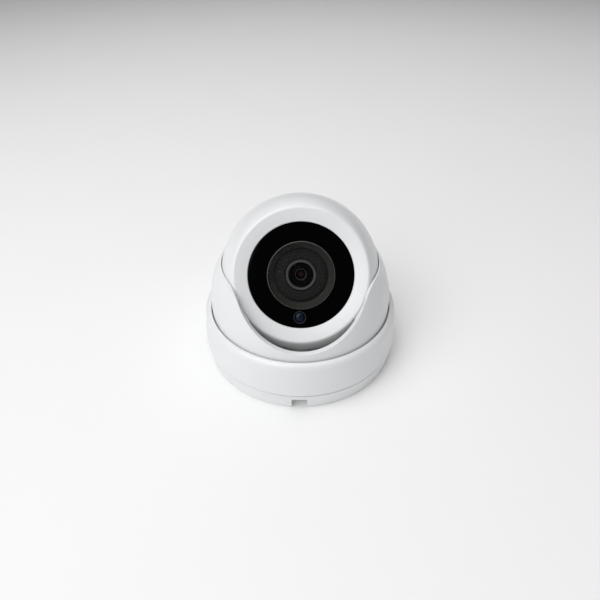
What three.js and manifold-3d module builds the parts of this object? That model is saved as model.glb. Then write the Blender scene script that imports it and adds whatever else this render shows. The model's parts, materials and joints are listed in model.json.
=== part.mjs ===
// Three-axis eyeball dome camera. Millimetres, +Z up, origin at the centre of the base's underside.
// The lens looks towards -Y and up, as it does when the base is screwed to a table or, turned over, to a ceiling.
import * as THREE from "three";
import { mergeVertices } from "three/addons/utils/BufferGeometryUtils.js";
import Module from "manifold-3d";

const wasm = await Module();
wasm.setup();

// ---- driving dimensions ----

const RING_SEGMENTS = 48;
const BALL_SEGMENTS = 40;
const LENS_SEGMENTS = 28;
const SMALL_SEGMENTS = 16;
const SCREW_SEGMENTS = 10;

// Base plate, and the turn it was screwed down with relative to the lens.
const BASE_R = 45.3;
const BASE_TOP_R = 46.6;
const BASE_H = 8.55;
const BASE_TURN_DEG = -2;
const FLOOR_T = 3;
const CABLE_HOLE_R = 10;
const NOTCH_W = 7;
const NOTCH_H = 6.2;
const WALL_HOLE_CIRCLE_R = 25;
const WALL_HOLE_R = 2.2;
const PAN_RIM_IN_R = 36.2;
const PAN_RIM_OUT_R = 39.2;
const PAN_RIM_TOP = 18.6;

// Outer ring, which traps the collar's flange.
const RING_BOTTOM = 9.15;
const RING_TOP = 26.3;
const RING_IN_R = 44.1;
const RING_LIP_R = 42.8;
const RING_LIP_BOTTOM = 22.8;
const RING_BOSS_CIRCLE_R = 42.2;
const RING_BOSS_R = 2.7;

// Collar, the shroud that pans.
const DOME_R = 42.3;
const DOME_Z = 28.9;
const COLLAR_BOTTOM = 19.9;
const COLLAR_FLANGE_R = 43.7;
const COLLAR_FLANGE_TOP = 22.4;
const COLLAR_WALL = 2.2;
const COLLAR_TOP = 50.4;
const CUT_R = 29.9;
const CUT_Z = 60;
const CUT_LEAVES_Z = 45.4;
const CUT_SHOULDER_X = 32.3;

// Ball, its tilt and roll at rest, and the gimbal stirrup that carries it.
const BALL_R = 36.3;
const BALL_Z = 42.1;
const LENS_ELEVATION_DEG = 31.8;
const ROLL_DEG = -2.7;
const SHELL_T = 2.2;
const SPLIT_S = -6;
const FACE_S = 21.5;
const FACE_R = 28.9;
const DISH_R = 23.3;
const DISH_S = 19.8;
const REAR_S = -30;
const NECK_R = 8;
const NECK_END_S = -34.8;
const STIRRUP_IN_R = 36.55;
const STIRRUP_OUT_R = 37.45;
const STIRRUP_HALF_W = 3;
const PIVOT_R = 2;

// Window, lens and electronics, as distances along the lens axis from the ball's centre.
const WINDOW_R = 22.7;
const WINDOW_TOP = 19.6;
const WINDOW_BOTTOM = 17.9;
const LENS_WINDOW_R = 14.6;
const HOOD_FLOOR_S = 16.2;
const HOOD_FLOOR_R = 12;
const LENS_RIM_R = 6.6;
const LENS_FRONT_S = 16.6;
const LED_CIRCLE_R = 18.3;
const LED_COUNT = 8;
const LED_BOARD_TOP = 13.9;
const BOARD_T = 1.6;
const BOARD_SIDE = 38;
const POWER_BOARD_TOP = -9;
const BOARD_HOLE_XY = 16;

// ---- geometry helpers ----

const rad = THREE.MathUtils.degToRad;

// A three.js geometry as a manifold-3d solid.
function solid(geometry) {
  const bare = geometry.index ? geometry.toNonIndexed() : geometry.clone();
  bare.deleteAttribute("normal");
  bare.deleteAttribute("uv");
  const merged = mergeVertices(bare, 1e-4);
  return new wasm.Manifold(
    new wasm.Mesh({
      numProp: 3,
      vertProperties: merged.attributes.position.array,
      triVerts: new Uint32Array(merged.index.array),
    }),
  );
}

// A manifold-3d solid as a flat-shaded three.js geometry.
function geometryOf(shape) {
  const mesh = shape.getMesh();
  const positions = new Float32Array(mesh.numVert * 3);
  for (let i = 0; i < mesh.numVert; i++) {
    positions.set(mesh.vertProperties.subarray(i * mesh.numProp, i * mesh.numProp + 3), i * 3);
  }
  const geometry = new THREE.BufferGeometry();
  geometry.setAttribute("position", new THREE.BufferAttribute(positions, 3));
  geometry.setIndex(new THREE.BufferAttribute(mesh.triVerts, 1));
  const flat = geometry.toNonIndexed();
  flat.computeVertexNormals();
  return flat;
}

// Points on an arc, from one angle to another in degrees, both ends included.
function arc(r, z, radius, from, to, steps) {
  return Array.from({ length: steps + 1 }, (_, i) => {
    const a = rad(from + ((to - from) * i) / steps);
    return [r + radius * Math.cos(a), z + radius * Math.sin(a)];
  });
}

// A profile of [radius, height] points turned about Z. Profiles run anticlockwise.
function turned(profile, segments) {
  const onAxis = profile[0][0] === 0;
  const closed = onAxis ? profile : [...profile, profile[0]];
  const points = closed.map(([r, z]) => new THREE.Vector2(r, z));
  return solid(new THREE.LatheGeometry(points, segments).rotateX(Math.PI / 2));
}

function tube(inner, outer, bottom, top, segments) {
  return turned(
    [
      [inner, bottom],
      [outer, bottom],
      [outer, top],
      [inner, top],
    ],
    segments,
  );
}

function disc(radius, bottom, top, segments) {
  return turned(
    [
      [0, bottom],
      [radius, bottom],
      [radius, top],
      [0, top],
    ],
    segments,
  );
}

function block(x0, x1, y0, y1, z0, z1) {
  const box = new THREE.BoxGeometry(x1 - x0, y1 - y0, z1 - z0);
  return solid(box.translate((x0 + x1) / 2, (y0 + y1) / 2, (z0 + z1) / 2));
}

// A rod along X, from x0 to x1, at height z.
function rodX(radius, x0, x1, z, segments) {
  const rod = new THREE.CylinderGeometry(radius, radius, x1 - x0, segments);
  return solid(rod.rotateZ(Math.PI / 2).translate((x0 + x1) / 2, 0, z));
}

// An outline in X and Z, pushed from y = 0 towards -Y.
function pushedForward(shape, depth, curveSegments) {
  const settings = { depth, bevelEnabled: false, curveSegments };
  return solid(new THREE.ExtrudeGeometry(shape, settings).rotateX(Math.PI / 2));
}

// A shape moved out from the axis by a distance, then turned about Z.
function around(shape, distance, degrees) {
  return shape.translate([distance, 0, 0]).rotate([0, 0, degrees]);
}

function joined(shapes) {
  return shapes.reduce((all, shape) => all.add(shape));
}

// A pan-head screw along Z: the head runs away from headAt towards headTo, the shank the other way.
function screw(headR, headAt, headTo, shankR, tip) {
  const low = Math.min(headAt, headTo);
  const high = Math.max(headAt, headTo);
  const up = headTo > headAt;
  const head = disc(headR, low, high, SCREW_SEGMENTS);
  const shank = disc(shankR, Math.min(tip, headAt), Math.max(tip, headAt) + (up ? 0.2 : 0), SCREW_SEGMENTS);
  const reach = up ? shank : disc(shankR, headAt - 0.2, tip, SCREW_SEGMENTS);
  const slotDepth = 0.6 * Math.abs(headTo - headAt);
  const slotAt = up ? [high - slotDepth, high + 1] : [low - 1, low + slotDepth];
  const cross = block(-headR * 0.6, headR * 0.6, -0.25, 0.25, ...slotAt)
    .add(block(-0.25, 0.25, -headR * 0.6, headR * 0.6, ...slotAt));
  return head.add(reach).subtract(cross);
}

// ---- materials ----

function finish(colour, roughness, metalness) {
  return () => new THREE.MeshStandardMaterial({ color: colour, roughness, metalness });
}

const whitePaint = finish(0xeeeeee, 0.35, 0.1);
const whiteInside = finish(0xe4e4e2, 0.5, 0.1);
const zinc = finish(0xb9bcc0, 0.35, 0.9);
const springSteel = finish(0x9fa2a6, 0.3, 0.95);
const brass = finish(0xc8a24a, 0.3, 0.9);
const rubber = finish(0x1a1a1a, 0.85, 0);
const acetal = finish(0xd9d6cc, 0.55, 0);
const blackWindow = finish(0x050505, 0.05, 0);
const blackPlastic = finish(0x222423, 0.6, 0);
const barrelBlack = finish(0x45484a, 0.4, 0.5);
const clearWindow = () => {
  const material = finish(0xdfe6e8, 0.03, 0)();
  material.transparent = true;
  material.opacity = 0.25;
  return material;
};
const opticGlass = finish(0x14181c, 0.03, 0.1);
const sensorBlue = finish(0x0d1830, 0.1, 0);
const filterGlass = finish(0x9cc4c8, 0.05, 0);
const boardGreen = finish(0x1d5a34, 0.5, 0);
const chipBlack = finish(0x151515, 0.45, 0);
const chipCeramic = finish(0x3a3340, 0.3, 0.1);
const ledEpoxy = finish(0x2a2430, 0.15, 0);
const plugWhite = finish(0xe8e4d6, 0.5, 0);

function addPart(group, name, shape, material) {
  const mesh = new THREE.Mesh(geometryOf(shape), material());
  mesh.name = name;
  group.add(mesh);
}

// ---- base: plate, outer ring, seal, screws and pan washer ----

function cableNotch() {
  const corner = 1;
  const half = NOTCH_W / 2;
  const shape = new THREE.Shape();
  shape.moveTo(-half, -1);
  shape.lineTo(half, -1);
  shape.lineTo(half, NOTCH_H - corner);
  shape.absarc(half - corner, NOTCH_H - corner, corner, 0, Math.PI / 2, false);
  shape.lineTo(-half + corner, NOTCH_H);
  shape.absarc(-half + corner, NOTCH_H - corner, corner, Math.PI / 2, Math.PI, false);
  shape.closePath();
  return pushedForward(shape, BASE_R + 5, 3);
}

const RING_SCREW_ANGLES = [60, 180, 300];
const WALL_HOLE_ANGLES = [90, 210, 330];

function basePlate() {
  const body = turned(
    [
      [CABLE_HOLE_R, 0],
      [BASE_R - 0.4, 0],
      [BASE_R, 0.4],
      [BASE_TOP_R, BASE_H - 0.4],
      [BASE_TOP_R - 0.4, BASE_H],
      [PAN_RIM_OUT_R, BASE_H],
      [PAN_RIM_OUT_R, PAN_RIM_TOP],
      [PAN_RIM_IN_R, PAN_RIM_TOP],
      [PAN_RIM_IN_R, FLOOR_T],
      [CABLE_HOLE_R, FLOOR_T],
    ],
    RING_SEGMENTS,
  );
  const counterbore = joined([
    disc(2.3, -1, 3.4, SCREW_SEGMENTS),
    disc(1.4, 3, BASE_H + 1, SCREW_SEGMENTS),
  ]);
  const wallHole = joined([
    disc(WALL_HOLE_R, -1, FLOOR_T + 1, SMALL_SEGMENTS),
    turned(
      [
        [0, FLOOR_T - 1.4],
        [WALL_HOLE_R, FLOOR_T - 1.4],
        [WALL_HOLE_R + 1.8, FLOOR_T + 0.4],
        [0, FLOOR_T + 0.4],
      ],
      SMALL_SEGMENTS,
    ),
  ]);
  const cuts = [
    cableNotch(),
    ...RING_SCREW_ANGLES.map((a) => around(counterbore, RING_BOSS_CIRCLE_R, a)),
    ...WALL_HOLE_ANGLES.map((a) => around(wallHole, WALL_HOLE_CIRCLE_R, a)),
  ];
  return body.subtract(joined(cuts));
}

function outerRing() {
  const wall = turned(
    [
      [RING_IN_R, RING_BOTTOM],
      [46.7, RING_BOTTOM],
      [47, RING_BOTTOM + 0.3],
      [46.85, 11.5],
      [46.65, 14.5],
      [46.3, 18],
      [45.95, 22],
      [45.75, 23.7],
      [45.35, 25],
      [44.6, 25.95],
      [43.7, RING_TOP],
      [RING_LIP_R, RING_TOP - 0.3],
      [RING_LIP_R, RING_LIP_BOTTOM],
      [RING_IN_R, RING_LIP_BOTTOM],
    ],
    RING_SEGMENTS,
  );
  const boss = disc(RING_BOSS_R, RING_BOTTOM, PAN_RIM_TOP - 0.1, SMALL_SEGMENTS);
  const pilot = disc(1.25, RING_BOTTOM - 1, 14, SCREW_SEGMENTS);
  const bosses = RING_SCREW_ANGLES.map((a) => around(boss, RING_BOSS_CIRCLE_R, a));
  const pilots = RING_SCREW_ANGLES.map((a) => around(pilot, RING_BOSS_CIRCLE_R, a));
  return joined([wall, ...bosses]).subtract(joined(pilots));
}

function addBase(group) {
  addPart(group, "base_plate", basePlate(), whitePaint);
  addPart(group, "outer_ring", outerRing(), whitePaint);
  const seal = tube(RING_IN_R - 0.2, BASE_TOP_R - 0.4, BASE_H + 0.05, RING_BOTTOM - 0.05, RING_SEGMENTS);
  addPart(group, "seam_seal", seal, rubber);
  const washer = tube(PAN_RIM_IN_R + 0.3, RING_LIP_R, PAN_RIM_TOP + 0.15, COLLAR_BOTTOM - 0.15, RING_SEGMENTS);
  addPart(group, "pan_friction_ring", washer, acetal);
  RING_SCREW_ANGLES.forEach((a, i) => {
    const ringScrew = around(screw(2, 3.25, 1.5, 1.1, 13.5), RING_BOSS_CIRCLE_R, a);
    addPart(group, "ring_screw_" + (i + 1), ringScrew, zinc);
  });
}

// ---- collar ----

// Half-width of the dome's outside at a height above its centre.
function domeR(z) {
  return Math.sqrt(DOME_R ** 2 - (z - DOME_Z) ** 2);
}

// Radius, from the pan axis, of a sphere about the ball's centre.
function aboutBall(radius, z) {
  return Math.sqrt(radius ** 2 - (z - BALL_Z) ** 2);
}

function collarCut() {
  const startAngle = Math.asin((CUT_LEAVES_Z - CUT_Z) / CUT_R);
  const x0 = CUT_R * Math.cos(startAngle);
  const tangent = [-Math.sin(startAngle), Math.cos(startAngle)];
  const p1 = [x0 + 3 * tangent[0], CUT_LEAVES_Z + 3 * tangent[1]];
  const shoulderZ = COLLAR_TOP + 0.2;
  const shape = new THREE.Shape();
  shape.absarc(0, CUT_Z, CUT_R, Math.PI - startAngle, 2 * Math.PI + startAngle, false);
  shape.bezierCurveTo(p1[0], p1[1], CUT_SHOULDER_X - 3.4, shoulderZ, CUT_SHOULDER_X, shoulderZ);
  shape.lineTo(CUT_SHOULDER_X, COLLAR_TOP + 5);
  shape.lineTo(-CUT_SHOULDER_X, COLLAR_TOP + 5);
  shape.lineTo(-CUT_SHOULDER_X, shoulderZ);
  shape.bezierCurveTo(-CUT_SHOULDER_X + 3.4, shoulderZ, -p1[0], p1[1], -x0, CUT_LEAVES_Z);
  return pushedForward(shape, DOME_R + 5, 14);
}

function collar() {
  const outside = [32, 35, 38, 41, 44, 46.5, 49].map((z) => [domeR(z), z]);
  const inside = [46, 44, 41.5].map((z) => [Math.min(aboutBall(37.95, z), domeR(z) - 1), z]);
  const body = turned(
    [
      [DOME_R - COLLAR_WALL, COLLAR_BOTTOM],
      [COLLAR_FLANGE_R, COLLAR_BOTTOM],
      [COLLAR_FLANGE_R, COLLAR_FLANGE_TOP],
      [DOME_R, COLLAR_FLANGE_TOP],
      [DOME_R, DOME_Z],
      ...outside,
      [domeR(49.9), 49.9],
      [36.4, COLLAR_TOP],
      [35.9, COLLAR_TOP - 0.1],
      [aboutBall(36.6, 50), 50],
      [aboutBall(36.6, 48.4), 48.4],
      [aboutBall(36.65, 47), 47],
      ...inside,
      [domeR(38) - 2.1, 38],
      [domeR(34) - COLLAR_WALL, 34],
      [DOME_R - COLLAR_WALL, DOME_Z],
    ],
    RING_SEGMENTS,
  );
  const pockets = [1, -1].map((side) => {
    const socket = rodX(PIVOT_R + 0.3, 37, 39.05, BALL_Z, SMALL_SEGMENTS);
    const seat = rodX(3.5, 36, 38.15, BALL_Z, SMALL_SEGMENTS);
    const pocket = socket.add(seat);
    return side > 0 ? pocket : pocket.rotate([0, 0, 180]);
  });
  return body.subtract(joined([collarCut(), ...pockets]));
}

function addCollar(group) {
  addPart(group, "collar", collar(), whitePaint);
  const seat = rodX(3.2, 37.6, 38.05, BALL_Z, SMALL_SEGMENTS);
  const bore = rodX(PIVOT_R + 0.25, 37, 39, BALL_Z, SMALL_SEGMENTS);
  const washer = seat.subtract(bore);
  addPart(group, "tilt_washer_right", washer, acetal);
  addPart(group, "tilt_washer_left", washer.rotate([0, 0, 180]), acetal);
}

// ---- gimbal stirrup: tilts in the collar, and the ball turns in it ----

function stirrup() {
  const rearPlateTop = REAR_S - 0.85;
  const rearPlateBottom = rearPlateTop - 1;
  const low = rearPlateBottom;
  const startDeg = (radius) => THREE.MathUtils.radToDeg(Math.asin(low / radius));
  const band = turned(
    [
      ...arc(0, 0, STIRRUP_OUT_R, startDeg(STIRRUP_OUT_R), 8, 8),
      ...arc(0, 0, STIRRUP_IN_R, 8, startDeg(STIRRUP_IN_R), 8),
    ],
    BALL_SEGMENTS,
  );
  const strap = block(-40, 40, -STIRRUP_HALF_W, STIRRUP_HALF_W, -40, 0);
  const eyes = rodX(STIRRUP_HALF_W + 0.2, -40, 40, 0, SMALL_SEGMENTS);
  const arms = band.intersect(strap.add(eyes));
  const plate = disc(13, rearPlateBottom, rearPlateTop, LENS_SEGMENTS);
  const bar = block(-19.3, 19.3, -STIRRUP_HALF_W, STIRRUP_HALF_W, rearPlateBottom, rearPlateTop);
  const bore = disc(NECK_R + 0.4, rearPlateBottom - 1, rearPlateTop + 1, BALL_SEGMENTS);
  const pins = [1, -1].map((side) => {
    const pin = rodX(PIVOT_R, 36.9, 38.9, 0, SMALL_SEGMENTS);
    return side > 0 ? pin : pin.rotate([0, 0, 180]);
  });
  return joined([arms, plate, bar, ...pins]).subtract(bore);
}

// ---- ball housing ----

const SHELL_BOSS_ANGLES = [270, 30, 150];
const SHELL_BOSS_CIRCLE_R = 29.8;
const LED_POST_ANGLES = [0, 180];
const LED_POST_CIRCLE_R = 23;

function sphereDeg(radius, s) {
  return THREE.MathUtils.radToDeg(Math.asin(s / radius));
}

function frontShell() {
  const inR = BALL_R - SHELL_T;
  const ledge = WINDOW_BOTTOM - 2;
  const edgeS = 20.9;
  const wall = turned(
    [
      [34.6, SPLIT_S + 0.1],
      ...arc(0, 0, BALL_R, sphereDeg(BALL_R, SPLIT_S + 0.1), sphereDeg(BALL_R, edgeS), 7),
      [29.3, 21.3],
      [FACE_R, FACE_S],
      [DISH_R, DISH_S],
      [WINDOW_R + 0.25, DISH_S - 0.25],
      [WINDOW_R + 0.25, WINDOW_BOTTOM - 0.4],
      [21.3, WINDOW_BOTTOM - 0.4],
      [21.3, ledge],
      ...arc(0, 0, inR, sphereDeg(inR, ledge), sphereDeg(inR, -1.6), 5),
      [34.6, -1.7],
    ],
    BALL_SEGMENTS,
  );
  const column = joined([
    disc(2.5, SPLIT_S + 0.4, 14, SCREW_SEGMENTS),
    block(1.5, 4.1, -0.6, 0.6, 0, 12),
  ]).subtract(disc(1.3, SPLIT_S - 1, 7, SCREW_SEGMENTS));
  const columns = SHELL_BOSS_ANGLES.map((a) => around(column, SHELL_BOSS_CIRCLE_R, a));
  const post = tube(0.95, 2, LED_BOARD_TOP + 0.1, ledge + 0.4, SCREW_SEGMENTS);
  const posts = LED_POST_ANGLES.map((a) => around(post, LED_POST_CIRCLE_R, a));
  return joined([wall, ...columns, ...posts]);
}

function rearShell() {
  const inR = BALL_R - SHELL_T;
  const inFloor = REAR_S + 2.4;
  const wall = turned(
    [
      [3.2, NECK_END_S],
      [NECK_R, NECK_END_S],
      [NECK_R, REAR_S],
      ...arc(0, 0, BALL_R, sphereDeg(BALL_R, REAR_S), sphereDeg(BALL_R, SPLIT_S - 0.1), 6),
      [34.3, SPLIT_S - 0.1],
      [34.3, -4.6],
      [33.4, -4.6],
      [33.4, -3.2],
      [34.3, -3.2],
      [34.3, -2],
      [32.6, -2],
      [32.6, SPLIT_S - 1],
      ...arc(0, 0, inR - 0.3, sphereDeg(inR - 0.3, -8), sphereDeg(inR - 0.3, inFloor), 5),
      [6.6, inFloor],
      [6.6, NECK_END_S + 1.4],
      [3.2, NECK_END_S + 1.4],
    ],
    BALL_SEGMENTS,
  );
  const insideOnly = disc(BALL_R, REAR_S + 0.2, SPLIT_S, BALL_SEGMENTS).intersect(
    turned(arc(0, 0, BALL_R - 0.05, -90, 0, 8).concat([[0, 0]]), BALL_SEGMENTS),
  );
  const well = disc(3.4, -26, SPLIT_S - 0.1, SCREW_SEGMENTS);
  const boardPost = disc(2.6, -34, POWER_BOARD_TOP - BOARD_T - 0.15, SCREW_SEGMENTS);
  const boardPosts = [1, -1].map((d) => boardPost.translate([d * BOARD_HOLE_XY, d * BOARD_HOLE_XY, 0]));
  const wells = SHELL_BOSS_ANGLES.map((a) => around(well, SHELL_BOSS_CIRCLE_R, a));
  const bosses = joined([...wells, ...boardPosts]).intersect(insideOnly);
  const screwWay = joined([
    disc(2.4, -30, -13, SCREW_SEGMENTS),
    disc(1.35, -14, 0, SCREW_SEGMENTS),
  ]);
  const boardPilot = disc(1.15, -19, POWER_BOARD_TOP, SCREW_SEGMENTS);
  const ways = SHELL_BOSS_ANGLES.map((a) => around(screwWay, SHELL_BOSS_CIRCLE_R, a));
  const pilots = [1, -1].map((d) => boardPilot.translate([d * BOARD_HOLE_XY, d * BOARD_HOLE_XY, 0]));
  return wall.add(bosses).subtract(joined([...ways, ...pilots]));
}

function addHousing(group) {
  addPart(group, "ball_front_shell", frontShell(), whitePaint);
  addPart(group, "ball_rear_shell", rearShell(), whiteInside);
  const oRing = turned(arc(34, -3.9, 0.55, 0, 300, 5), BALL_SEGMENTS);
  addPart(group, "shell_o_ring", oRing, rubber);
  SHELL_BOSS_ANGLES.forEach((a, i) => {
    const shellScrew = around(screw(2.1, -13.1, -15, 1.1, 5.5), SHELL_BOSS_CIRCLE_R, a);
    addPart(group, "shell_screw_" + (i + 1), shellScrew, zinc);
  });
  const hexagon = disc(12.2, -34.1, -32.1, 6).intersect(disc(10.9, -35, -31, SMALL_SEGMENTS));
  const nutBore = disc(NECK_R + 0.25, -35, -31, BALL_SEGMENTS);
  addPart(group, "neck_nut", hexagon.subtract(nutBore), zinc);
  const washer = tube(NECK_R + 0.3, 13, REAR_S - 0.7, REAR_S - 0.15, LENS_SEGMENTS);
  addPart(group, "rotation_washer", washer, acetal);
  const grommet = turned(
    [
      [2, NECK_END_S - 0.6],
      [2.9, NECK_END_S - 0.6],
      [2.9, NECK_END_S + 1.6],
      [6.3, NECK_END_S + 1.6],
      [6.3, -30],
      [2, -30],
    ],
    SMALL_SEGMENTS,
  );
  addPart(group, "cable_grommet", grommet, rubber);
}

// ---- window, infrared lamps and light sensor ----

function addWindow(group) {
  const sensorHole = disc(2.95, WINDOW_BOTTOM - 1, WINDOW_TOP + 1, SMALL_SEGMENTS);
  const window = turned(
    [
      [LENS_WINDOW_R + 0.25, WINDOW_BOTTOM],
      [WINDOW_R, WINDOW_BOTTOM],
      [WINDOW_R, WINDOW_TOP - 0.2],
      [WINDOW_R - 0.2, WINDOW_TOP],
      [LENS_WINDOW_R + 0.25, WINDOW_TOP],
    ],
    BALL_SEGMENTS,
  ).subtract(around(sensorHole, LED_CIRCLE_R, -90));
  addPart(group, "ir_window", window, blackWindow);

  const clear = turned(
    [
      [0, WINDOW_BOTTOM],
      [LENS_WINDOW_R, WINDOW_BOTTOM],
      [LENS_WINDOW_R, WINDOW_TOP - 0.4],
      [LENS_WINDOW_R - 0.4, WINDOW_TOP],
      [0, WINDOW_TOP],
    ],
    BALL_SEGMENTS,
  );
  addPart(group, "lens_window", clear, clearWindow);
  const gasket = tube(21.5, 22.6, WINDOW_BOTTOM - 0.35, WINDOW_BOTTOM - 0.05, BALL_SEGMENTS);
  addPart(group, "window_gasket", gasket, rubber);

  const sensor = turned(
    [
      [0, LED_BOARD_TOP + 0.1],
      [2.75, LED_BOARD_TOP + 0.1],
      [2.75, WINDOW_TOP - 0.3],
      [2.45, WINDOW_TOP - 0.3],
      [2.4, WINDOW_TOP - 1.4],
      [1.9, WINDOW_TOP - 0.8],
      [1.1, WINDOW_TOP - 0.4],
      [0, WINDOW_TOP - 0.25],
    ],
    SMALL_SEGMENTS,
  );
  addPart(group, "light_sensor", around(sensor, LED_CIRCLE_R, -90), sensorBlue);
}

function addLamps(group) {
  const holes = LED_POST_ANGLES.map((a) =>
    around(disc(0.95, 0, 20, SCREW_SEGMENTS), LED_POST_CIRCLE_R, a),
  );
  const board = tube(9.2, 25, LED_BOARD_TOP - 1.2, LED_BOARD_TOP, BALL_SEGMENTS);
  addPart(group, "led_board", board.subtract(joined(holes)), boardGreen);
  const step = 360 / (LED_COUNT + 1);
  for (let i = 1; i <= LED_COUNT; i++) {
    const base = block(-1.75, 1.75, -1.75, 1.75, LED_BOARD_TOP + 0.1, LED_BOARD_TOP + 1);
    const dome = turned(
      [
        [0, LED_BOARD_TOP + 0.9],
        [1.5, LED_BOARD_TOP + 0.9],
        [1.35, LED_BOARD_TOP + 1.7],
        [0.8, LED_BOARD_TOP + 2.2],
        [0, LED_BOARD_TOP + 2.4],
      ],
      SCREW_SEGMENTS,
    );
    addPart(group, "ir_led_" + i, around(base.add(dome), LED_CIRCLE_R, -90 + step * i), ledEpoxy);
  }
  LED_POST_ANGLES.forEach((a, i) => {
    const boardScrew = screw(1.7, LED_BOARD_TOP - 1.35, LED_BOARD_TOP - 2.6, 0.8, LED_BOARD_TOP + 1.8);
    addPart(group, "led_board_screw_" + (i + 1), around(boardScrew, LED_POST_CIRCLE_R, a), zinc);
  });
}

// ---- lens ----

function addLens(group) {
  const hood = turned(
    [
      [LENS_RIM_R + 0.35, HOOD_FLOOR_S - 1.2],
      [14.7, HOOD_FLOOR_S - 1.2],
      [14.7, LED_BOARD_TOP + 0.1],
      [15.5, LED_BOARD_TOP + 0.1],
      [15.5, WINDOW_BOTTOM - 0.15],
      [14.2, WINDOW_BOTTOM - 0.15],
      [HOOD_FLOOR_R, HOOD_FLOOR_S],
      [LENS_RIM_R + 0.35, HOOD_FLOOR_S],
    ],
    LENS_SEGMENTS,
  );
  addPart(group, "lens_hood", hood, blackPlastic);

  const barrel = turned(
    [
      [4.1, 5.5],
      [6, 5.5],
      [6, 11.8],
      [LENS_RIM_R, 11.8],
      [LENS_RIM_R, LENS_FRONT_S - 0.2],
      [LENS_RIM_R - 0.2, LENS_FRONT_S],
      [5.75, LENS_FRONT_S],
      [5.45, LENS_FRONT_S - 0.5],
      [5.45, 14.1],
      [4.2, 14.1],
      [4.2, 10.8],
      [3.2, 10.8],
      [3.2, 8.6],
      [4.1, 8.6],
    ],
    LENS_SEGMENTS,
  );
  addPart(group, "lens_barrel", barrel, barrelBlack);

  const front = turned(
    [
      [0, 14.25],
      [5.3, 14.25],
      [5.3, 15.5],
      [4.1, 15.92],
      [2.8, 16.18],
      [1.4, 16.32],
      [0, 16.36],
    ],
    SMALL_SEGMENTS,
  );
  addPart(group, "front_lens", front, opticGlass);
  const iris = turned(
    [
      [1.3, 10.95],
      [4, 10.95],
      [4, 12.9],
      [2.5, 12.9],
      [1.3, 11.5],
    ],
    SMALL_SEGMENTS,
  );
  addPart(group, "lens_iris", iris, blackPlastic);
  const rear = turned(
    [
      [0, 5.5],
      [2, 5.65],
      [3.9, 6.3],
      [3.9, 8.3],
      [0, 8.3],
    ],
    SMALL_SEGMENTS,
  );
  addPart(group, "rear_lens", rear, opticGlass);

  const mountFoot = block(-9, 9, -9, 9, 0.95, 5.2);
  const mountTube = disc(7.9, 5, 11.2, LENS_SEGMENTS);
  const mountCuts = joined([
    block(-6.5, 6.5, -6.5, 6.5, 0, 3.8),
    disc(3.9, 3, 6, SMALL_SEGMENTS),
    disc(6.25, 5.3, 14, LENS_SEGMENTS),
  ]);
  addPart(group, "lens_mount", mountFoot.add(mountTube).subtract(mountCuts), blackPlastic);
  addPart(group, "ir_cut_filter", block(-4.6, 4.6, -4.6, 4.6, 3.1, 3.65), filterGlass);
}

// ---- circuit boards ----

// A square board with two screw holes on a diagonal.
function squareBoard(top) {
  const half = BOARD_SIDE / 2;
  const hole = disc(1.35, top - BOARD_T - 1, top + 1, SCREW_SEGMENTS);
  const holes = [1, -1].map((d) => hole.translate([d * BOARD_HOLE_XY, d * BOARD_HOLE_XY, 0]));
  return block(-half, half, -half, half, top - BOARD_T, top).subtract(joined(holes));
}

function addBoards(group) {
  const sensorTop = BOARD_T / 2;
  addPart(group, "sensor_board", squareBoard(sensorTop), boardGreen);
  addPart(group, "power_board", squareBoard(POWER_BOARD_TOP), boardGreen);
  const chip = block(-4, 4, -3.2, 3.2, sensorTop + 0.1, 2.2);
  addPart(group, "image_sensor", chip, chipCeramic);
  const processor = block(-6, 6, -6, 6, -sensorTop - 1.4, -sensorTop - 0.1);
  addPart(group, "processor", processor, chipBlack);
  const powerBottom = POWER_BOARD_TOP - BOARD_T;
  const socket = block(-6, 6, -15, -9.5, powerBottom - 5.6, powerBottom - 0.1)
    .subtract(block(-5, 5, -14, -10.5, powerBottom - 7, powerBottom - 1.6));
  addPart(group, "cable_socket", socket, plugWhite);
  [1, -1].forEach((d, i) => {
    const x = d * BOARD_HOLE_XY;
    const spacer = tube(1.35, 2.3, POWER_BOARD_TOP + 0.1, -sensorTop - 0.1, 6);
    addPart(group, "board_spacer_" + (i + 1), spacer.translate([x, x, 0]), brass);
    const boardScrew = screw(2.1, sensorTop + 0.1, sensorTop + 1.6, 1, -17);
    addPart(group, "board_screw_" + (i + 1), boardScrew.translate([x, x, 0]), zinc);
  });
}

// ---- assembly ----

const camera = new THREE.Group();
camera.name = "eyeball_camera";

const base = new THREE.Group();
base.rotation.z = rad(BASE_TURN_DEG);
addBase(base);

const collarGroup = new THREE.Group();
addCollar(collarGroup);

// From here +Z of the group is the lens axis and -Y its lower side.
const tilting = new THREE.Group();
tilting.position.set(0, 0, BALL_Z);
tilting.rotation.x = rad(90 - LENS_ELEVATION_DEG);
addPart(tilting, "gimbal_stirrup", stirrup(), springSteel);

const ball = new THREE.Group();
ball.rotation.z = rad(ROLL_DEG);
addHousing(ball);
addWindow(ball);
addLamps(ball);
addLens(ball);
addBoards(ball);
tilting.add(ball);

camera.add(base, collarGroup, tilting);

export default camera;
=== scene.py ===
import json
import math

import bmesh
import bpy
from mathutils import Matrix, Vector


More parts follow.
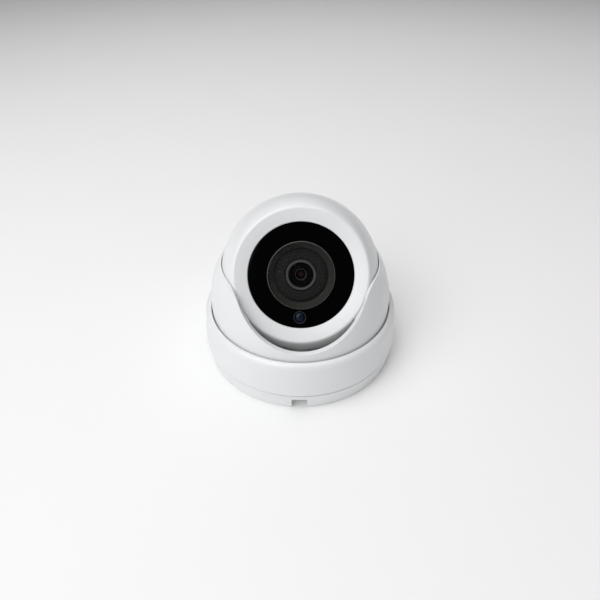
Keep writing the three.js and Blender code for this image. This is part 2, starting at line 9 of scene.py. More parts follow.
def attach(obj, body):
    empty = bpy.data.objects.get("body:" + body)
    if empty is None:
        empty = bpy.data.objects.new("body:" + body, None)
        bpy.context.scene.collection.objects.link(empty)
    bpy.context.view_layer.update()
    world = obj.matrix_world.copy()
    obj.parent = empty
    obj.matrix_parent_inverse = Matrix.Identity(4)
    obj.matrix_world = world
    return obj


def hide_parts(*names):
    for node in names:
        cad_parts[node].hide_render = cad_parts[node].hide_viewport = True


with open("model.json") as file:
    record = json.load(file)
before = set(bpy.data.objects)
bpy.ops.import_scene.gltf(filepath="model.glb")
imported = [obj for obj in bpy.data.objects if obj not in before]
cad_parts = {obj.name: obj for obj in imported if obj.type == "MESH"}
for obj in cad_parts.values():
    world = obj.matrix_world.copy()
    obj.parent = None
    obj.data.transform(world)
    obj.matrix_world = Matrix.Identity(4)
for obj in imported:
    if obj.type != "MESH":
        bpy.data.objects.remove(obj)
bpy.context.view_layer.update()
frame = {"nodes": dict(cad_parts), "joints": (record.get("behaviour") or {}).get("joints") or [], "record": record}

MM = 0.001
TAU = 2 * math.pi

joints = {j["name"]: j for j in frame["joints"]}
BALL = Vector(joints["tilt"]["pos_m"])
LENS_AXIS = Vector(joints["rotation"]["axis"]).normalized()
ROLL = math.radians(-2.7)
BASE_TURN = math.radians(-2)

# ---------------------------------------------------------------- frames

def lens_frame():
    """From millimetres about the ball's centre, +Z along the lens axis and -Y down, to the row frame."""
    side = Vector((1, 0, 0))
    up = LENS_AXIS.cross(side)
    turn = Matrix((side, up, LENS_AXIS)).transposed().to_4x4()
    return Matrix.Translation(BALL) @ turn @ Matrix.Rotation(ROLL, 4, "Z") @ Matrix.Scale(MM, 4)


IN_BALL = lens_frame()
IN_BASE = Matrix.Rotation(BASE_TURN, 4, "Z") @ Matrix.Scale(MM, 4)
IN_ROW = Matrix.Scale(MM, 4)

# ---------------------------------------------------------------- mesh tools

def finish_mesh(name, bm, matrix, materials, sharp_deg=32):
    bmesh.ops.remove_doubles(bm, verts=bm.verts, dist=1e-5)
    bmesh.ops.recalc_face_normals(bm, faces=bm.faces)
    bm.transform(matrix)
    mesh = bpy.data.meshes.new(name)
    bm.to_mesh(mesh)
    bm.free()
    mesh.shade_smooth()
    mesh.set_sharp_from_angle(angle=math.radians(sharp_deg))
    for m in materials:
        mesh.materials.append(m)
    obj = bpy.data.objects.new(name, mesh)
    bpy.context.scene.collection.objects.link(obj)
    return obj


def rounded(corners, closed=True, steps=6):
    """Corners (r, z) or (r, z, radius) as a polyline whose corners with a radius are arcs."""
    out = []
    n = len(corners)
    for i, c in enumerate(corners):
        p = Vector(c[:2])
        radius = c[2] if len(c) > 2 else 0
        if radius == 0 or (not closed and i in (0, n - 1)):
            out.append(p)
            continue
        a = (Vector(corners[i - 1][:2]) - p)
        b = (Vector(corners[(i + 1) % n][:2]) - p)
        la, lb = a.length, b.length
        a, b = a / la, b / lb
        half = a.angle(b) / 2
        cut = min(radius / math.tan(half), 0.49 * la, 0.49 * lb)
        radius = cut * math.tan(half)
        centre = p + (a + b).normalized() * (radius / math.sin(half))
        start, end = p + a * cut - centre, p + b * cut - centre
        turn = start.angle_signed(end)
        for k in range(steps + 1):
            v = start.copy()
            v.rotate(Matrix.Rotation(-turn * k / steps, 2))
            out.append(centre + v)
    return [(v.x, v.y) for v in out]


def arc(radius, from_deg, to_deg, steps, centre=(0, 0)):
    return [
        (centre[0] + radius * math.cos(math.radians(from_deg + (to_deg - from_deg) * i / steps)),
         centre[1] + radius * math.sin(math.radians(from_deg + (to_deg - from_deg) * i / steps)))
        for i in range(steps + 1)
    ]


def lathe_bm(profile, segments=192, closed=True, slot_of=None):
    """A profile of (r, z) turned about Z. slot_of gives a face's material index from its profile edge."""
    bm = bmesh.new()
    rings = []
    for r, z in profile:
        if r < 1e-6:
            rings.append([bm.verts.new((0, 0, z))] * segments)
        else:
            rings.append([
                bm.verts.new((r * math.cos(TAU * k / segments), r * math.sin(TAU * k / segments), z))
                for k in range(segments)
            ])
    pairs = range(len(profile) if closed else len(profile) - 1)
    for i in pairs:
        low, high = rings[i], rings[(i + 1) % len(profile)]
        if low[0] is low[1] and high[0] is high[1]:
            continue
        for k in range(segments):
            m = (k + 1) % segments
            loop = [low[k], low[m], high[m], high[k]]
            unique = [v for j, v in enumerate(loop) if v is not loop[j - 1]]
            face = bm.faces.new(unique)
            if slot_of:
                face.material_index = slot_of(i)
    return bm


def lathe(name, profile, matrix, materials, segments=192, closed=True, slot_of=None, sharp_deg=32):
    return finish_mesh(name, lathe_bm(profile, segments, closed, slot_of), matrix, materials, sharp_deg)


def applied(obj, sharp_deg=32):
    """Applies obj's modifiers and sets its smooth shading again."""
    bpy.context.view_layer.update()
    graph = bpy.context.evaluated_depsgraph_get()
    mesh = bpy.data.meshes.new_from_object(obj.evaluated_get(graph))
    obj.modifiers.clear()
    obj.data = mesh
    mesh.shade_smooth()
    mesh.set_sharp_from_angle(angle=math.radians(sharp_deg))


def cut(obj, cutters, bevel_mm=0.0, operation="DIFFERENCE", sharp_deg=32):
    """Cuts obj with the cutters, rounds the edges that this leaves, and deletes the cutters."""
    for c in cutters:
        m = obj.modifiers.new("cut", "BOOLEAN")
        m.operation, m.solver, m.object = operation, "EXACT", c
    if bevel_mm:
        b = obj.modifiers.new("edge", "BEVEL")
        b.width, b.segments, b.limit_method = bevel_mm * MM, 3, "ANGLE"
        b.angle_limit = math.radians(40)
        b.miter_outer = "MITER_ARC"
    applied(obj, sharp_deg)
    for c in cutters:
        bpy.data.objects.remove(c)


def prism(name, outline, depth_from, depth_to, matrix):
    """An outline in X and Z between two Y positions."""
    bm = bmesh.new()
    near = [bm.verts.new((x, depth_from, z)) for x, z in outline]
    far = [bm.verts.new((x, depth_to, z)) for x, z in outline]
    bm.faces.new(near)
    bm.faces.new(far[::-1])
    for i in range(len(outline)):
        j = (i + 1) % len(outline)
        bm.faces.new((near[i], far[i], far[j], near[j]))
    return finish_mesh(name, bm, matrix, [])


def on_circle(radius, deg):
    return radius * math.cos(math.radians(deg)), radius * math.sin(math.radians(deg))


def rod(name, profile, x, y, matrix, segments=48):
    """A small turned cutter whose own axis stands at (x, y)."""
    return lathe(name, profile, matrix @ Matrix.Translation((x, y, 0)), [], segments, closed=False)


# ---------------------------------------------------------------- materials

class Look:
    """A Principled material and short ways to add procedural detail to it. Sizes are in millimetres."""

    def __init__(self, name, colour, roughness, metallic=0.0, **sockets):
        self.material = bpy.data.materials.new(name)
        self.material.use_nodes = True
        tree = self.material.node_tree
        self.nodes, self.links = tree.nodes, tree.links
        self.shader = self.nodes["Principled BSDF"]
        self.colour = (*colour, 1)
        self.roughness = roughness
        self.shader.inputs["Base Color"].default_value = self.colour
        self.shader.inputs["Roughness"].default_value = roughness
        self.shader.inputs["Metallic"].default_value = metallic
        for key, value in sockets.items():
            self.shader.inputs[key.replace("_", " ")].default_value = value
        self.place = self.nodes.new("ShaderNodeTexCoord").outputs["Object"]
        self.bumps = None

    def noise(self, size_mm, detail=3.0, stretch=(1, 1, 1), distortion=0.0):
        mapping = self.nodes.new("ShaderNodeMapping")
        mapping.inputs["Scale"].default_value = stretch
        self.links.new(self.place, mapping.inputs["Vector"])
        n = self.nodes.new("ShaderNodeTexNoise")
        n.inputs["Scale"].default_value = 1 / (size_mm * MM)
        n.inputs["Detail"].default_value = detail
        n.inputs["Distortion"].default_value = distortion
        self.links.new(mapping.outputs["Vector"], n.inputs["Vector"])
        return n.outputs["Fac"]

    def ramp(self, source, stops):
        r = self.nodes.new("ShaderNodeValToRGB")
        while len(r.color_ramp.elements) < len(stops):
            r.color_ramp.elements.new(0.5)
        for e, (at, value) in zip(r.color_ramp.elements, stops):
            e.position = at
            e.color = (value, value, value, 1) if isinstance(value, (int, float)) else (*value, 1)
        self.links.new(source, r.inputs["Fac"])
        return r.outputs["Color"]

    def vary_colour(self, source, darker, lighter):
        """Multiplies the colour by a grey between darker and lighter."""
        mix = self.nodes.new("ShaderNodeMix")
        mix.data_type, mix.blend_type = "RGBA", "MULTIPLY"
        mix.inputs["Factor"].default_value = 1
        colour = self.shader.inputs["Base Color"]
        if colour.is_linked:
            self.links.new(colour.links[0].from_socket, mix.inputs["A"])
        else:
            mix.inputs["A"].default_value = self.colour
        grey = self.ramp(source, [(0.25, darker), (0.75, lighter)])
        self.links.new(grey, mix.inputs["B"])
        self.links.new(mix.outputs["Result"], colour)
        return self

    def vary_roughness(self, source, low, high):
        grey = self.ramp(source, [(0.25, low), (0.75, high)])
        self.links.new(grey, self.shader.inputs["Roughness"])
        return self

    def bump(self, source, height_mm, strength=1.0):
        b = self.nodes.new("ShaderNodeBump")
        b.inputs["Strength"].default_value = strength
        b.inputs["Distance"].default_value = height_mm * MM
        self.links.new(source, b.inputs["Height"])
        if self.bumps:
            self.links.new(self.bumps, b.inputs["Normal"])
        self.bumps = b.outputs["Normal"]
        self.links.new(self.bumps, self.shader.inputs["Normal"])
        return self


def paint(name, colour, roughness):
    look = Look(name, colour, roughness, Coat_Weight=0.3, Coat_Roughness=0.08)
    look.vary_colour(look.noise(22, 2), 0.975, 1.0)
    look.vary_colour(look.noise(0.5, 2), 0.985, 1.0)
    look.vary_roughness(look.noise(6, 4), roughness - 0.05, roughness + 0.07)
    look.bump(look.noise(1.1, 2), 0.006)
    look.bump(look.noise(0.3, 2), 0.0015)
    return look.material


def metal(name, colour, roughness, grain=(1, 1, 12)):
    look = Look(name, colour, roughness, 1.0)
    look.vary_colour(look.noise(3, 3), 0.86, 1.0)
    look.vary_roughness(look.noise(0.25, 3, grain), roughness - 0.06, roughness + 0.12)
    look.bump(look.noise(0.2, 2, grain), 0.003)
    return look.material


def plastic(name, colour, roughness, texture_mm=0.35, height_mm=0.006, **sockets):
    look = Look(name, colour, roughness, **sockets)
    look.vary_colour(look.noise(8, 3), 0.92, 1.0)
    look.vary_roughness(look.noise(2, 3), roughness - 0.05, roughness + 0.08)
    look.bump(look.noise(texture_mm, 3), height_mm)
    return look.material


def board():
    """Green solder mask with the faint relief of copper tracks under it."""
    look = Look("circuit_board", (0.02, 0.13, 0.05), 0.42)
    tracks = look.nodes.new("ShaderNodeTexVoronoi")
    tracks.feature = "DISTANCE_TO_EDGE"
    tracks.inputs["Scale"].default_value = 1 / (2.2 * MM)
    look.links.new(look.place, tracks.inputs["Vector"])
    edge = look.ramp(tracks.outputs["Distance"], [(0.04, 1.0), (0.09, 0.0)])
    look.vary_colour(edge, 1.0, 0.72)
    look.vary_colour(look.noise(9, 3), 0.85, 1.0)
    look.vary_roughness(look.noise(1.5, 3), 0.36, 0.5)
    look.bump(edge, 0.02)
    return look.material


def polished(name, colour, roughness, **sockets):
    look = Look(name, colour, roughness, **sockets)
    look.vary_roughness(look.noise(7, 4, distortion=0.6), roughness, roughness + 0.05)
    look.vary_colour(look.noise(12, 2), 0.9, 1.0)
    look.bump(look.noise(9, 1), 0.0015)
    return look.material


WHITE = paint("white_paint", (0.85, 0.862, 0.875), 0.34)
WHITE_INNER = paint("white_paint_inner", (0.83, 0.842, 0.855), 0.4)
ZINC = metal("zinc_steel", (0.62, 0.64, 0.66), 0.32)
SPRING = metal("spring_steel", (0.5, 0.51, 0.53), 0.28)
BRASS = metal("brass", (0.75, 0.55, 0.2), 0.27)
RUBBER = plastic("rubber", (0.012, 0.012, 0.012), 0.8, 0.5, 0.012)
ACETAL = plastic("acetal", (0.72, 0.7, 0.64), 0.5)
BLACK_WINDOW = polished("ir_window", (0.0008, 0.0008, 0.001), 0.05, Specular_IOR_Level=0.05)
CLEAR_WINDOW = polished("clear_window", (0.02, 0.02, 0.02), 0.03, Alpha=0.06, Specular_IOR_Level=0.1)
# Painted glint: a light grey on the clear window's bevelled edge stands for the highlight that edge catches.
WINDOW_EDGE_GLINT = polished("window_edge_painted_glint", (0.15, 0.15, 0.155), 0.15)
HOOD = plastic("hood_black", (0.0085, 0.0088, 0.0086), 0.7, 0.25, 0.006, Specular_IOR_Level=0.2)
# Painted light: the hood's cone band is coloured a lighter, warmer grey than the rest of the same black hood, for
# the light that the slope catches.
HOOD_CONE_LIT = plastic("hood_cone_painted_light", (0.029, 0.027, 0.023), 0.65, 0.25, 0.004, Specular_IOR_Level=0.15)
BARREL = plastic("barrel_metal", (0.06, 0.063, 0.066), 0.42, 0.3, 0.004)
OPTIC = polished("optic_glass", (0.001, 0.001, 0.001), 0.03, Alpha=0.05, Specular_IOR_Level=0.1)
# Painted reflection: the rear lens's reddish colour stands for the red glint that its coating reflects.
COATED_REFLECTION = polished("coated_glass_painted_reflection", (0.06, 0.022, 0.018), 0.08)
LENS_BLACK = plastic("lens_black", (0.0012, 0.0012, 0.0012), 0.8, 0.3, 0.004, Specular_IOR_Level=0.05)
IRIS_RIM = plastic("iris_rim", (0.02, 0.02, 0.021), 0.5, 0.3, 0.003)
SENSOR = polished("sensor_lens", (0.003, 0.008, 0.022), 0.14, Specular_IOR_Level=0.2)
# The sensor's sleeve rim is real, but its grey, lighter than the black window around it, is a painted glint for
# the edge of the hole.
SENSOR_RIM_GLINT = polished("sensor_rim_painted_glint", (0.025, 0.025, 0.027), 0.25)
FILTER = polished("filter_glass", (0.3, 0.55, 0.56), 0.05, Alpha=0.6)
BOARD = board()
CHIP = plastic("chip_black", (0.01, 0.01, 0.01), 0.45)
CERAMIC = plastic("chip_ceramic", (0.05, 0.04, 0.06), 0.3)
LED = polished("led_epoxy", (0.03, 0.02, 0.035), 0.12)
NYLON = plastic("connector", (0.8, 0.77, 0.68), 0.45)

SLOT_LOOKS = {
    "white_paint": WHITE, "white_paint_inner": WHITE_INNER, "zinc_steel": ZINC, "spring_steel": SPRING,
    "brass": BRASS, "rubber": RUBBER, "acetal": ACETAL, "ir_window": BLACK_WINDOW, "hood_black": HOOD,
    "barrel_metal": BARREL, "clear_window": CLEAR_WINDOW, "optic_glass": OPTIC, "sensor_lens": SENSOR,
    "filter_glass": FILTER, "circuit_board": BOARD, "chip_black": CHIP, "chip_ceramic": CERAMIC,
    "led_epoxy": LED, "connector": NYLON,
}
slot_of_node = {s["node"]: s["material_slot"] for s in frame["record"]["subparts"]}
for node, obj in frame["nodes"].items():
    obj.data.materials.clear()
    obj.data.materials.append(SLOT_LOOKS[slot_of_node[node]])


def stands_for(obj, body, *nodes):
    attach(obj, body)
    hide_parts(*nodes)
    return obj


# ---------------------------------------------------------------- base

RING_SCREW_ANGLES, RING_SCREW_CIRCLE = (60, 180, 300), 42.2
WALL_HOLE_ANGLES, WALL_HOLE_CIRCLE = (90, 210, 330), 25


def make_base_plate():
    profile = rounded([
        (10, 0, 0.3), (45.25, 0, 0.5), (46.6, 8.55, 0.35), (39.2, 8.55, 0.3), (39.2, 18.6, 0.4),
        (36.2, 18.6, 0.4), (36.2, 3, 1.2), (10, 3, 0.3),
    ])
    plate = lathe("base_plate_smooth", profile, IN_BASE, [WHITE], 256)
    half, top, corner = 3.5, 6.2, 1.0
    notch = [(-half, -2), (half, -2)]
    notch += arc(corner, 0, 90, 6, (half - corner, top - corner))
    notch += arc(corner, 90, 180, 6, (-half + corner, top - corner))
    cutters = [prism("notch", notch, -52, 0, IN_BASE)]
    for deg in RING_SCREW_ANGLES:
        x, y = on_circle(RING_SCREW_CIRCLE, deg)
        steps = [(0, -1), (2.3, -1), (2.3, 3.4), (1.4, 3.4), (1.4, 11), (0, 11)]
        cutters.append(rod("ring_hole", steps, x, y, IN_BASE))
    for deg in WALL_HOLE_ANGLES:
        x, y = on_circle(WALL_HOLE_CIRCLE, deg)
        steps = [(0, -1), (2.2, -1), (2.2, 1.6), (4, 3.4), (4, 4), (0, 4)]
        cutters.append(rod("wall_hole", steps, x, y, IN_BASE))
    cut(plate, cutters, bevel_mm=0.22)
    stands_for(plate, "base", "base_plate")


def make_outer_ring():
    ring = lathe("outer_ring_smooth", ring_profile(), IN_BASE, [WHITE], 288)
    stands_for(ring, "base", "outer_ring")


def ring_profile():
    """The outer ring's section: slight draft, a full round at the top, and a thin lip."""
    side = [(47 - 0.16 - 1.05 * ((z - 8) / 15) ** 1.4, z) for z in (9.5, 11, 12.5, 14, 16, 18, 20, 22, 23)]
    shoulder = []
    for i in range(1, 13):
        a = math.radians(90 * i / 12)
        shoulder.append((43.15 + 2.64 * math.cos(a) ** 0.9, 23 + 3.3 * math.sin(a) ** 0.95))
    start = [(44.1, 9.15), (46.6, 9.15), (46.73, 9.18), (46.79, 9.26)]
    lip = [(42.95, 26.22), (42.83, 26.05), (42.8, 25.8), (42.8, 22.8), (44.1, 22.8)]
    return start + side + shoulder + lip


def make_ring_screws():
    """The pan-head cross-slot screws that hold the ring, seen from underneath."""
    for i, deg in enumerate(RING_SCREW_ANGLES):
        turn = Matrix.Rotation(math.radians(deg), 4, "Z")
        at = IN_BASE @ turn @ Matrix.Translation((RING_SCREW_CIRCLE, 0, 0))
        profile = rounded([
            (0, 13.5), (0.7, 13.5, 0.3), (1.1, 12.8), (1.1, 3.25), (2, 3.25, 0.2), (2, 1.5, 0.9), (0, 1.5),
        ], closed=False)
        screw = lathe(f"ring_screw_{i + 1}_smooth", profile, at, [ZINC], 64, closed=False)
        slot = [(-1.2, 0.5), (1.2, 0.5), (0.55, 2.55), (-0.55, 2.55)]
        crossed = at @ Matrix.Rotation(math.pi / 2, 4, "Z")
        cut(screw, [prism("slot", slot, -0.25, 0.25, at), prism("slot", slot, -0.25, 0.25, crossed)], 0.04)
        screw.data.materials.clear()
        screw.data.materials.append(ZINC)
        stands_for(screw, "base", f"ring_screw_{i + 1}")


def make_seam_seal():
    profile = rounded([(43.9, 8.6, 0.05), (46.2, 8.6, 0.1), (46.2, 9.1, 0.1), (43.9, 9.1, 0.05)], steps=3)
    stands_for(lathe("seam_seal_smooth", profile, IN_BASE, [RUBBER], 192), "base", "seam_seal")


# ---------------------------------------------------------------- collar

DOME_R, DOME_Z, COLLAR_TOP = 42.3, 28.9, 50.4
CUT_R, CUT_Z, CUT_LEAVES = 29.9, 60.0, 45.4
SHOULDER_X = 32.3
BALL_Z = 42.1
COLLAR_SHARP_DEG = 40


def bezier(p0, p1, p2, p3, t):
    a, b = 1 - t, t
    return tuple(
        a**3 * w + 3 * a * a * b * x + 3 * a * b * b * y + b**3 * z for w, x, y, z in zip(p0, p1, p2, p3)
    )


def cut_outline():
    """The scoop's edge seen along Y: (half-width, height), from the lowest point up to the shoulder."""
    end = math.asin((CUT_LEAVES - CUT_Z) / CUT_R)
    points = []
    for i in range(61):
        a = -math.pi / 2 + (end + math.pi / 2) * i / 60
        points.append((CUT_R * math.cos(a), CUT_Z + CUT_R * math.sin(a)))
    x0 = CUT_R * math.cos(end)
    p1 = (x0 - 3 * math.sin(end), CUT_LEAVES + 3 * math.cos(end))
    top = COLLAR_TOP
    for i in range(1, 41):
        points.append(bezier((x0, CUT_LEAVES), p1, (SHOULDER_X - 3.4, top), (SHOULDER_X, top), i / 40))
    return points


CUT_OUTLINE = cut_outline()


def half_width(z):
    for (x0, z0), (x1, z1) in zip(CUT_OUTLINE, CUT_OUTLINE[1:]):
        if z0 <= z <= z1:
            t = (z - z0) / (z1 - z0) if z1 > z0 else 0
            return x0 + (x1 - x0) * t
    return 0 if z < CUT_OUTLINE[0][1] else SHOULDER_X


def dome_r(z):
    return math.sqrt(DOME_R**2 - max(0, z - DOME_Z) ** 2)


def inner_r(z):
    """The collar's inside: a wall of about 2.2 below, close to the ball near the rim."""
    ball = math.sqrt(max(0, 36.6**2 - (z - BALL_Z) ** 2))
    relief = math.sqrt(37.95**2 - (z - BALL_Z) ** 2)
    if z <= 40:
        return dome_r(z) - 2.15
    if z <= 45.5:
        return min(relief, dome_r(z) - 1.1)
    t = min(1, (z - 45.5) / 1.5)
    t = t * t * (3 - 2 * t)
    return min(relief, dome_r(45.5) - 1.1) * (1 - t) + ball * t


def edge_height(radius_at, sine, top):
    """How high a wall of that radius runs at an azimuth before the scoop cuts it."""
    low, high = 30.0, top
    if radius_at(top) * sine >= half_width(top) or sine <= -1:
        return top
    for _ in range(40):
        mid = (low + high) / 2
        if radius_at(mid) * sine < half_width(mid):
            high = mid
        else:
            low = mid
    return (low + high) / 2


def collar_section(azimuth):
    """The closed section of the collar in the half-plane at an azimuth measured from the front."""
    front = math.cos(azimuth) > 0
    sine = abs(math.sin(azimuth)) if front else 10.0
    z_out = edge_height(dome_r, sine, COLLAR_TOP)
    z_in = edge_height(inner_r, sine, COLLAR_TOP - 0.1)
    z_in = min(z_in, z_out)
    outer = [(43.7, 19.9), (43.7, 22.4), (42.3, 22.4), (42.3, 25.5)]
    n = 26
    outer += [(dome_r(z), z) for z in (28.9 + (z_out - 28.9) * (i / n) ** 0.8 for i in range(n + 1))]
    low_in = 22.0
    inner = [(inner_r(z), z) for z in (z_in + (low_in - z_in) * (i / n) ** 1.1 for i in range(n + 1))]
    inner[-1] = (40.1, low_in)
    out_tip, in_tip = outer.pop(), inner.pop(0)
    lip = soft_lip(outer[-1], out_tip, in_tip, inner[0])
    return outer + lip + inner + [(40.1, 19.9)]


def soft_lip(before, out_tip, in_tip, after):
    """Rounds the lip's outer corner with a large radius and its inner corner with a small one."""
    tips = [before, (*out_tip, 0.9), (*in_tip, 0.25), after]
    points = rounded(tips, closed=False, steps=6)
    return points[1:-1]


def make_collar():
    segments = 360
    sections = [collar_section(TAU * k / segments) for k in range(segments)]
    bm = bmesh.new()
    rings = []
    for k, section in enumerate(sections):
        a = TAU * k / segments
        rings.append([bm.verts.new((r * math.sin(a), -r * math.cos(a), z)) for r, z in section])
    count = len(sections[0])
    for k in range(segments):
        near, far = rings[k], rings[(k + 1) % segments]
        for i in range(count):
            j = (i + 1) % count
            bm.faces.new((near[i], far[i], far[j], near[j]))
    collar = finish_mesh("collar_smooth", bm, IN_ROW, [WHITE], COLLAR_SHARP_DEG)
    # Blind pockets for the stirrup's pins and the tilt washers.
    pocket = [(0, 36), (3.5, 36), (3.5, 38.15), (2.3, 38.15), (2.3, 39.05), (0, 39.05)]
    pockets = []
    for side_deg in (90, -90):
        turn = Matrix.Rotation(math.radians(side_deg), 4, "Y")
        at = IN_ROW @ Matrix.Translation((0, 0, BALL_Z)) @ turn
        pockets.append(lathe("pivot_pocket", pocket, at, [], 48, closed=False))
    cut(collar, pockets, sharp_deg=COLLAR_SHARP_DEG)
    stands_for(collar, "collar", "collar")


# ---------------------------------------------------------------- ball housing

def sphere_arc(radius, s0, s1, steps):
    return arc(radius, math.degrees(math.asin(s0 / radius)), math.degrees(math.asin(s1 / radius)), steps)


BOSS_ANGLES = (270, 30, 150)
BOSS_CIRCLE = 29.8


def make_front_shell():
    bezel = rounded([
        (30.2, 20.14), (28.95, 21.5, 1.3), (23.15, 19.8, 0.15), (22.95, 19.5), (22.95, 17.5), (21.3, 17.5),
        (21.3, 15.9, 0.3), (30.0, 15.9),
    ], closed=False)
    profile = [(34.6, -5.9)] + sphere_arc(36.3, -5.9, 20.14, 40) + bezel[1:-1]
    profile += sphere_arc(34.1, 15.9, -1.6, 14) + [(34.6, -1.7)]
    shell = lathe("ball_front_smooth", profile, IN_BALL, [WHITE], 288)
    stands_for(shell, "ball", "ball_front_shell")
    for i, deg in enumerate(BOSS_ANGLES):
        x, y = on_circle(BOSS_CIRCLE, deg)
        column = rounded([(1.3, -5.6, 0.2), (2.5, -5.6, 0.2), (2.5, 14), (1.3, 14)])
        at = IN_BALL @ Matrix.Translation((x, y, 0))
        piece = lathe(f"shell_column_{i + 1}", column, at, [WHITE], 40)
        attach(piece, "ball")


def make_rear_shell():
    profile = [(3.2, -34.8), (8, -34.8), (8, -30)] + sphere_arc(36.3, -30, -6.1, 30)
    profile += [
        (34.3, -6.1), (34.3, -4.6), (33.4, -4.6), (33.4, -3.2), (34.3, -3.2), (34.3, -2), (32.6, -2), (32.6, -7),
    ]
    profile += sphere_arc(33.8, -8, -27.6, 16) + [(6.6, -27.6), (6.6, -33.4), (3.2, -33.4)]
    shell = lathe("ball_rear_smooth", profile, IN_BALL, [WHITE_INNER], 256)
    cutters = []
    for deg in BOSS_ANGLES:
        x, y = on_circle(BOSS_CIRCLE, deg)
        cutters.append(rod("screw_way", [(0, -36), (2.4, -36), (2.4, -12), (0, -12)], x, y, IN_BALL))
    cut(shell, cutters, bevel_mm=0.2)
    stands_for(shell, "ball", "ball_rear_shell")
    for i, deg in enumerate(BOSS_ANGLES):
        x, y = on_circle(BOSS_CIRCLE, deg)
        sleeve = rounded([
            (2.42, -19.5), (3.3, -18.5), (2.9, -6.2), (1.35, -6.2, 0.2), (1.35, -12.8), (2.42, -12.8),
        ])
        at = IN_BALL @ Matrix.Translation((x, y, 0))
        piece = lathe(f"screw_sleeve_{i + 1}", sleeve, at, [WHITE_INNER], 40)
        ball = lathe("ball_limit", arc(35.6, -90, 90, 48), IN_BALL, [], 96, closed=False)
        cut(piece, [ball], operation="INTERSECT")
        piece.data.materials.clear()
        piece.data.materials.append(WHITE_INNER)
        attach(piece, "ball")


# ---------------------------------------------------------------- window and lens

def make_windows():
    black = rounded([(14.85, 17.9), (22.85, 17.9), (22.85, 19.6, 0.08), (14.85, 19.6, 0.08)])
    window = lathe("ir_window_smooth", black, IN_BALL, [BLACK_WINDOW], 288)
    hole = rod("sensor_hole", [(0, 17), (2.95, 17), (2.95, 21), (0, 21)], 0, -18.3, IN_BALL)
    cut(window, [hole], bevel_mm=0.15)
    window.data.materials.clear()
    window.data.materials.append(BLACK_WINDOW)
    stands_for(window, "ball", "ir_window")

    disc = [(0, 17.9), (14.6, 17.9), (14.6, 19.4), (14.45, 19.58), (14.4, 19.6), (0, 19.6)]
    # The bevel faces of the clear disc get the painted glint material; the rest stays clear.
    glint_edge_faces = (1, 2, 3)
    clear = lathe(
        "lens_window_smooth", disc, IN_BALL, [CLEAR_WINDOW, WINDOW_EDGE_GLINT], 288, closed=False,
        slot_of=lambda i: 1 if i in glint_edge_faces else 0,
    )
    stands_for(clear, "ball", "lens_window")


def make_light_sensor():
    sleeve = rounded(
        [(0, 14), (2.75, 14), (2.75, 19.3, 0.1), (2.42, 19.3, 0.1), (2.38, 18.0)], closed=False, steps=3,
    )
    # The sleeve's rim faces get the grey painted glint material; the dome keeps the sensor lens material.
    glint_rim_to = len(sleeve) - 1
    dome = []
    for i in range(13):
        a = math.radians(90 * i / 12)
        dome.append((2.38 * math.cos(a), 17.9 + 1.45 * math.sin(a)))
    dome[-1] = (0, 19.35)
    at = IN_BALL @ Matrix.Translation((0, -18.3, 0))
    piece = lathe(
        "light_sensor_smooth", sleeve + dome, at, [SENSOR, SENSOR_RIM_GLINT], 64, closed=False,
        slot_of=lambda i: 1 if i < glint_rim_to else 0,
    )
    stands_for(piece, "ball", "light_sensor")


def make_lens():
    hood = rounded([
        (6.95, 15), (14.7, 15, 0.2), (14.7, 14), (15.5, 14), (15.5, 17.75, 0.2), (14.2, 17.75, 0.2),
        (12, 16.2, 0.1), (11.9, 15.6), (11.3, 15.6), (11.2, 16.2, 0.15), (6.95, 16.2, 0.2),
    ], steps=4)
    # The cone faces of the hood get the lighter painted-light grey; the rest of the hood stays black.
    lit_cone_from = next(i for i, p in enumerate(hood) if p[1] > 17.6)
    lit_cone_to = next(i for i, p in enumerate(hood) if p[0] < 12 and p[1] > 15.8)
    piece = lathe(
        "lens_hood_smooth", hood, IN_BALL, [HOOD, HOOD_CONE_LIT], 256,
        slot_of=lambda i: 1 if lit_cone_from <= i < lit_cone_to else 0,
    )
    stands_for(piece, "ball", "lens_hood")

    barrel = rounded([
        (4.1, 5.5), (6, 5.5, 0.2), (6, 11.8), (6.6, 11.8), (6.6, 16.6, 0.25), (5.75, 16.6, 0.12), (5.45, 16.1),
        (5.45, 14.1), (4.2, 14.1), (4.2, 10.8), (3.2, 10.8), (3.2, 8.6), (4.1, 8.6),
    ], steps=4)
    bore_from = next(i for i, p in enumerate(barrel) if abs(p[0] - 5.45) < 0.01)
    piece = lathe(
        "lens_barrel_smooth", barrel, IN_BALL, [BARREL, LENS_BLACK], 192,
        slot_of=lambda i: 1 if i >= bore_from else 0,
    )
    stands_for(piece, "ball", "lens_barrel")

    glass = [(0, 14.25), (5.3, 14.25), (5.3, 15.45)]
    for i in range(1, 17):
        r = 5.3 * (1 - i / 16)
        glass.append((r, 15.45 + 0.91 * (1 - (r / 5.3) ** 2)))
    stands_for(lathe("front_lens_smooth", glass, IN_BALL, [OPTIC], 128, closed=False), "ball", "front_lens")

    iris = [(1.3, 11.2), (1.3, 10.95), (4, 10.95), (4, 12.9), (2.65, 12.9), (2.3, 12.7), (2.2, 12.3)]
    rim_faces = (4, 5)
    stop = lathe("lens_iris_smooth", iris, IN_BALL, [LENS_BLACK, IRIS_RIM], 128,
                 slot_of=lambda i: 1 if i in rim_faces else 0)
    stands_for(stop, "ball", "lens_iris")
    # The rear lens carries the reddish painted reflection.
    rear = [(0, 5.5), (2, 5.65), (3.9, 6.3), (3.9, 8.3)] + arc(7.6, 64, 90, 8, (0, 1.45))
    stands_for(lathe("rear_lens_smooth", rear, IN_BALL, [COATED_REFLECTION], 96, closed=False), "ball", "rear_lens")


make_base_plate()
make_outer_ring()
make_ring_screws()
make_seam_seal()
make_collar()
make_front_shell()
make_rear_shell()
make_windows()
make_light_sensor()
make_lens()

# ---------------------------------------------------------------- floor, light and camera

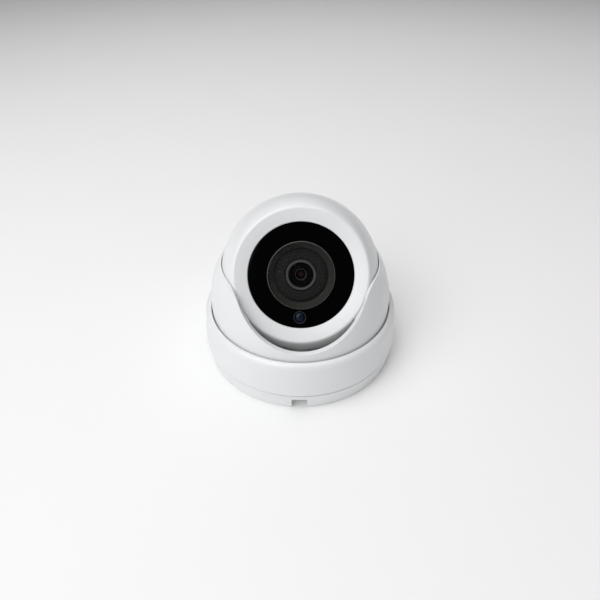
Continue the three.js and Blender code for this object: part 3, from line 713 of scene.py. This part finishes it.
def make_floor():
    """A plain floor, 0.2 mm under the object so that the two faces don't coincide."""
    bm = bmesh.new()
    bmesh.ops.create_grid(bm, x_segments=8, y_segments=8, size=6.0)
    floor = finish_mesh("floor", bm, Matrix.Translation((0, 0, -0.0002)), [])
    look = Look("floor", (0.92, 0.92, 0.92), 0.7, Emission_Color=(1, 1, 1, 1), Emission_Strength=0.05)
    look.vary_roughness(look.noise(60, 2), 0.65, 0.8)
    floor.data.materials.append(look.material)


def soft_light(name, azimuth, elevation, size, power):
    """A square area light on a dome of 1.1 m. Azimuth 0 is in front of the lens, positive to the right."""
    a, e = math.radians(azimuth), math.radians(elevation)
    place = Vector((math.sin(a) * math.cos(e), -math.cos(a) * math.cos(e), math.sin(e))) * 1.1
    light = bpy.data.lights.new(name, "AREA")
    light.shape, light.size, light.energy = "SQUARE", size, power
    obj = bpy.data.objects.new(name, light)
    bpy.context.scene.collection.objects.link(obj)
    obj.location = place
    obj.rotation_euler = (Vector((0, 0, 0.035)) - place).to_track_quat("-Z", "Y").to_euler()


def make_world(strength):
    world = bpy.data.worlds.new("studio")
    world.use_nodes = True
    background = world.node_tree.nodes["Background"]
    background.inputs["Color"].default_value = (1, 1, 1, 1)
    background.inputs["Strength"].default_value = strength
    bpy.context.scene.world = world


def make_camera():
    distance = 0.247
    elevation, azimuth, roll = (math.radians(deg) for deg in (39.43, -1.4, -0.15))
    target = Vector((-0.11, 0, 25.21)) * MM
    flat = math.cos(elevation)
    back = Vector((math.sin(azimuth) * flat, -math.cos(azimuth) * flat, math.sin(elevation)))
    camera = bpy.data.cameras.new("camera")
    camera.sensor_width, camera.lens = 36, 30.4
    camera.clip_start, camera.clip_end = 0.01, 30
    obj = bpy.data.objects.new("camera", camera)
    bpy.context.scene.collection.objects.link(obj)
    facing = (-back).to_track_quat("-Z", "Y").to_matrix().to_4x4()
    obj.matrix_world = Matrix.Translation(target + back * distance) @ facing @ Matrix.Rotation(roll, 4, "Z")
    bpy.context.scene.camera = obj


make_floor()
make_world(0.15)
soft_light("top", 0, 88, 0.9, 3.3)
soft_light("front_left", -37, 35, 0.8, 3.6)
soft_light("left", -60, 60, 0.8, 4.7)
soft_light("back", 180, 50, 0.8, 1.3)
soft_light("back_right", 120, 40, 0.8, 0.5)
make_camera()
bpy.context.scene.view_settings.view_transform = "Standard"
